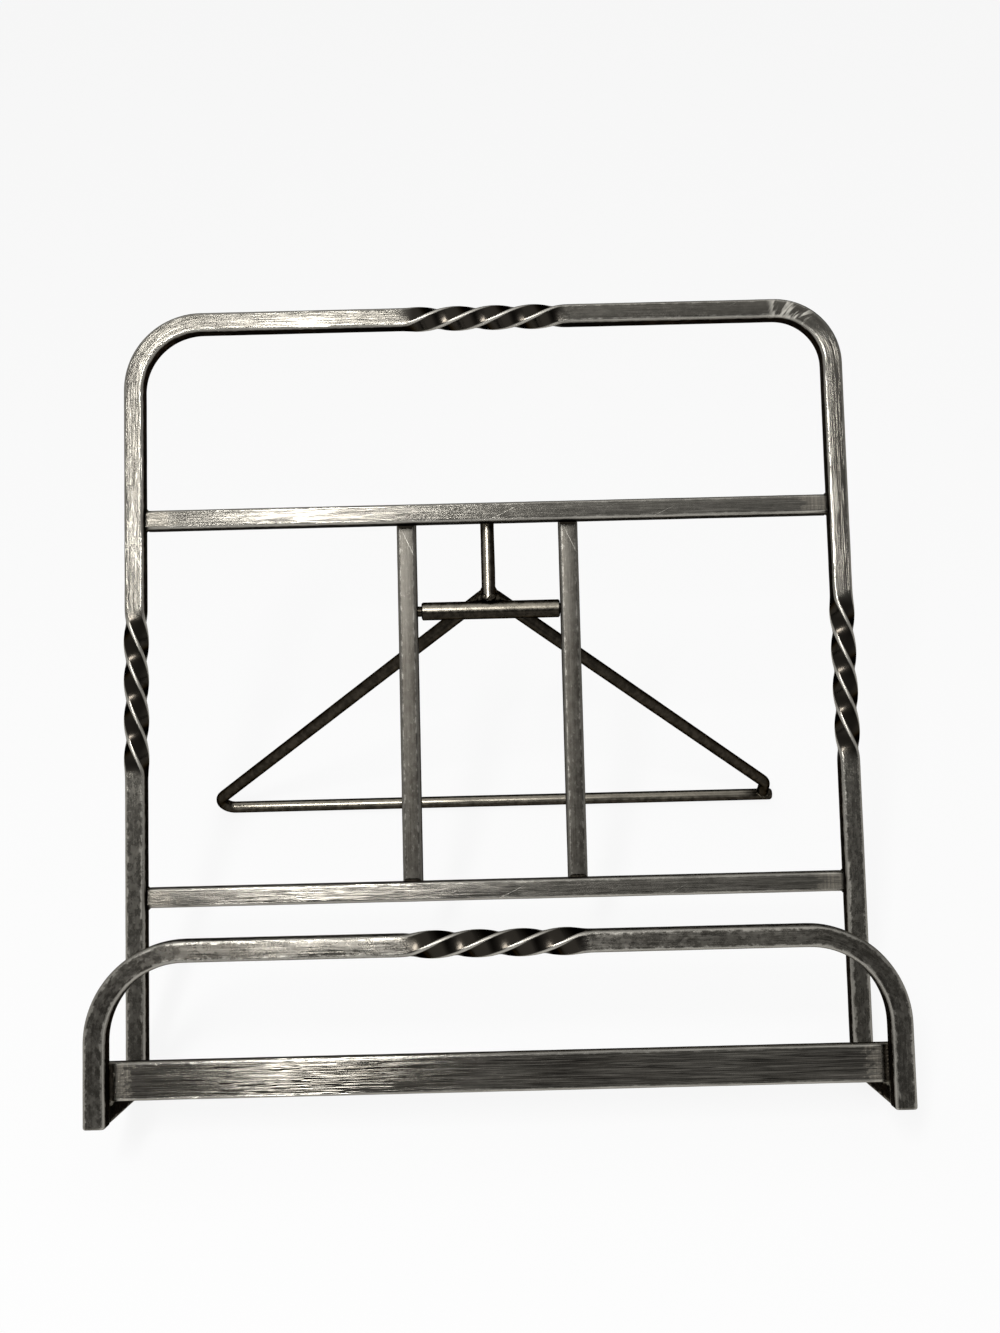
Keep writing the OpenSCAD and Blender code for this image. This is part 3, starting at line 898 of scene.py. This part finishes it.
# Each drop beside the stub: out, back and up in radii of the stub, then its own radius
APEX_DROPS = ((1.2, 0.2, 0.4, 0.0019), (1.8, 0.6, 0.2, 0.0016), (1.0, 0.9, 1.1, 0.0018),
              (0.7, 0.2, 1.5, 0.0016), (0.5, 0.2, 2.1, 0.0015), (0.6, -0.6, 0.5, 0.0014),
              (2.4, 1.0, 0.0, 0.0015))
stub_r = (stop_high.x - stop_low.x) / 2
apex_drops = []
for side in (-1, 1):
    for out, back, up, radius in APEX_DROPS:
        spot = Vector((side * out * stub_r, stop_mid.y + back * stub_r, stop_low.z + up * stub_r))
        apex_drops.append((spot, radius))
apex_drops.append((Vector((0.0006, stop_mid.y - 0.8 * stub_r, stop_low.z + 0.2 * stub_r)), 0.0013))
run_together("apex_weld", STAND, apex_drops)

RING = 9
RING_R = WIRE_D * 0.45
RING_DROP_R = 0.0012
collar = []
for i in range(RING):
    angle = 2 * pi * i / RING
    spot = Vector((landing_x + RING_R * cos(angle), wire_y + RING_R * sin(angle),
                   base_z + WIRE_D * (0.36 - 0.12 * sin(angle) ** 2)))
    collar.append((spot, RING_DROP_R))
run_together("corner_weld", LEG, collar)

# %% [markdown]
# ## Floor, light and camera
# Bare metal shows what stands round it, so the room matters as much as the lamps. It is a dim grey
# studio, brighter at the upper left, with a soft fill at the right front and a pale band along the
# horizon for the views from other sides. One small bright window above the camera on the left makes the
# highlights, and a weak panel hangs overhead. The floor mixes a plain white surface, which keeps the
# shadow, with a white of its own that only the camera, reflections and glass see.

# %% Set the stage
scene = bpy.context.scene
scene.view_settings.view_transform = "Standard"
FLOOR_GLOW = 0.88
FLOOR_WHITE = (0.88, 0.88, 0.88, 1)
FLOOR_HALF = 40.0
WHITE = (1, 1, 1, 1)


def shown_rays(sheet):
    """1 for rays from the camera, from reflections and through glass."""
    path = sheet.add("ShaderNodeLightPath")
    seen = sheet.math("MAXIMUM", path.of("Is Camera Ray"), path.of("Is Glossy Ray"))
    return sheet.math("MAXIMUM", seen, path.of("Is Transmission Ray"))


BRIGHT_SIDE = Vector((-0.5, 0, 0.86))
FILL_SIDE = Vector((0.85, -0.32, 0.42))
DIM = 0.04
BRIGHT = 0.5
FILL = 0.3
HORIZON = 0.4
world = bpy.data.worlds.new("studio")
scene.world = world
world.use_nodes = True
room = Sheet(world.node_tree)
heading = room.add("ShaderNodeTexCoord").of("Generated")
bright = room.rise(room.vector("DOT_PRODUCT", heading, BRIGHT_SIDE).of("Value"), 0.1, 1.0)
skirting = room.rise(room.add("ShaderNodeSeparateXYZ", {}, {"Vector": heading}).of("Z"), 0.3, 0.05)
fill = room.rise(room.vector("DOT_PRODUCT", heading, FILL_SIDE).of("Value"), 0.55, 1.0)
room.feed(world.node_tree.nodes["Background"],
          {"Color": WHITE, "Strength": DIM + BRIGHT * bright + HORIZON * skirting + FILL * fill})

floor_material = bpy.data.materials.new("pale_floor")
floor_material.use_nodes = True
ground = Sheet(floor_material.node_tree)
surface = floor_material.node_tree.nodes["Principled BSDF"]
ground.feed(surface, {"Base Color": FLOOR_WHITE, "Roughness": 0.9})
glow = ground.add("ShaderNodeEmission", {}, {"Color": WHITE, "Strength": 1.0})
both = ground.add("ShaderNodeMixShader", {},
                  {0: shown_rays(ground) * FLOOR_GLOW, 1: Wire(ground, surface.outputs[0]), 2: glow})
ground.feed(floor_material.node_tree.nodes["Material Output"], {"Surface": both})
floor_mesh = bpy.data.meshes.new("floor")
floor_corners = [(-FLOOR_HALF, -FLOOR_HALF, 0), (FLOOR_HALF, -FLOOR_HALF, 0),
                 (FLOOR_HALF, FLOOR_HALF, 0), (-FLOOR_HALF, FLOOR_HALF, 0)]
floor_mesh.from_pydata(floor_corners, [], [(0, 1, 2, 3)])
floor_mesh.materials.append(floor_material)
floor = bpy.data.objects.new("floor", floor_mesh)
scene.collection.objects.link(floor)


def softbox(name, place, target, width, height, watts):
    """A lamp of that width and height at a place, turned to a target."""
    lamp = bpy.data.lights.new(name, "AREA")
    lamp.shape = "RECTANGLE"
    lamp.size = width
    lamp.size_y = height
    lamp.energy = watts
    holder = bpy.data.objects.new(name, lamp)
    holder.location = place
    holder.rotation_euler = (Vector(target) - Vector(place)).to_track_quat("-Z", "Y").to_euler()
    scene.collection.objects.link(holder)


MIDDLE = (0, 0, 0.12)
softbox("window", (-0.215, -0.600, 0.955), MIDDLE, 0.12, 0.32, 6.6)
softbox("overhead_panel", (0.0, 0.2, 3.0), MIDDLE, 3.0, 3.0, 12.0)
print("floor, world and two lamps")

# %% [markdown]
# The camera stands where the photograph was taken: on the stand's bench it is square in front of the
# frame, a little below half its height, tipped up by a few degrees and rolled a little. These numbers
# were worked out from the edges of the frame in the photograph, so they are written down as they are.

# %% Place the camera
FOCAL_PX = 1309
FRAME_PX = 1333
CAMERA_AWAY = Vector((0.00344, -0.53079, 0.12516))
TIP_UP = radians(4.426)
PAN = radians(0.058)
ROLL = radians(-1.427)

camera_data = bpy.data.cameras.new("camera")
camera_data.sensor_width = 36
camera_data.lens = camera_data.sensor_width * FOCAL_PX / FRAME_PX
camera = bpy.data.objects.new("camera", camera_data)
scene.collection.objects.link(camera)
scene.camera = camera
front_face = Vector((0, BACK_Y - BAR / 2, HEEL_Z))
look = Vector((sin(PAN) * cos(TIP_UP), cos(TIP_UP) * cos(PAN), sin(TIP_UP)))
right = look.cross(Vector((0, 0, 1))).normalized()
up = right.cross(look)
rolled_right = right * cos(ROLL) + up * sin(ROLL)
rolled_up = up * cos(ROLL) - right * sin(ROLL)
turn = Matrix((rolled_right, rolled_up, -look)).transposed().to_4x4()
camera.matrix_world = STAND @ Matrix.Translation(front_face + CAMERA_AWAY) @ turn
print("camera at", [round(c, 3) for c in camera.matrix_world.translation])
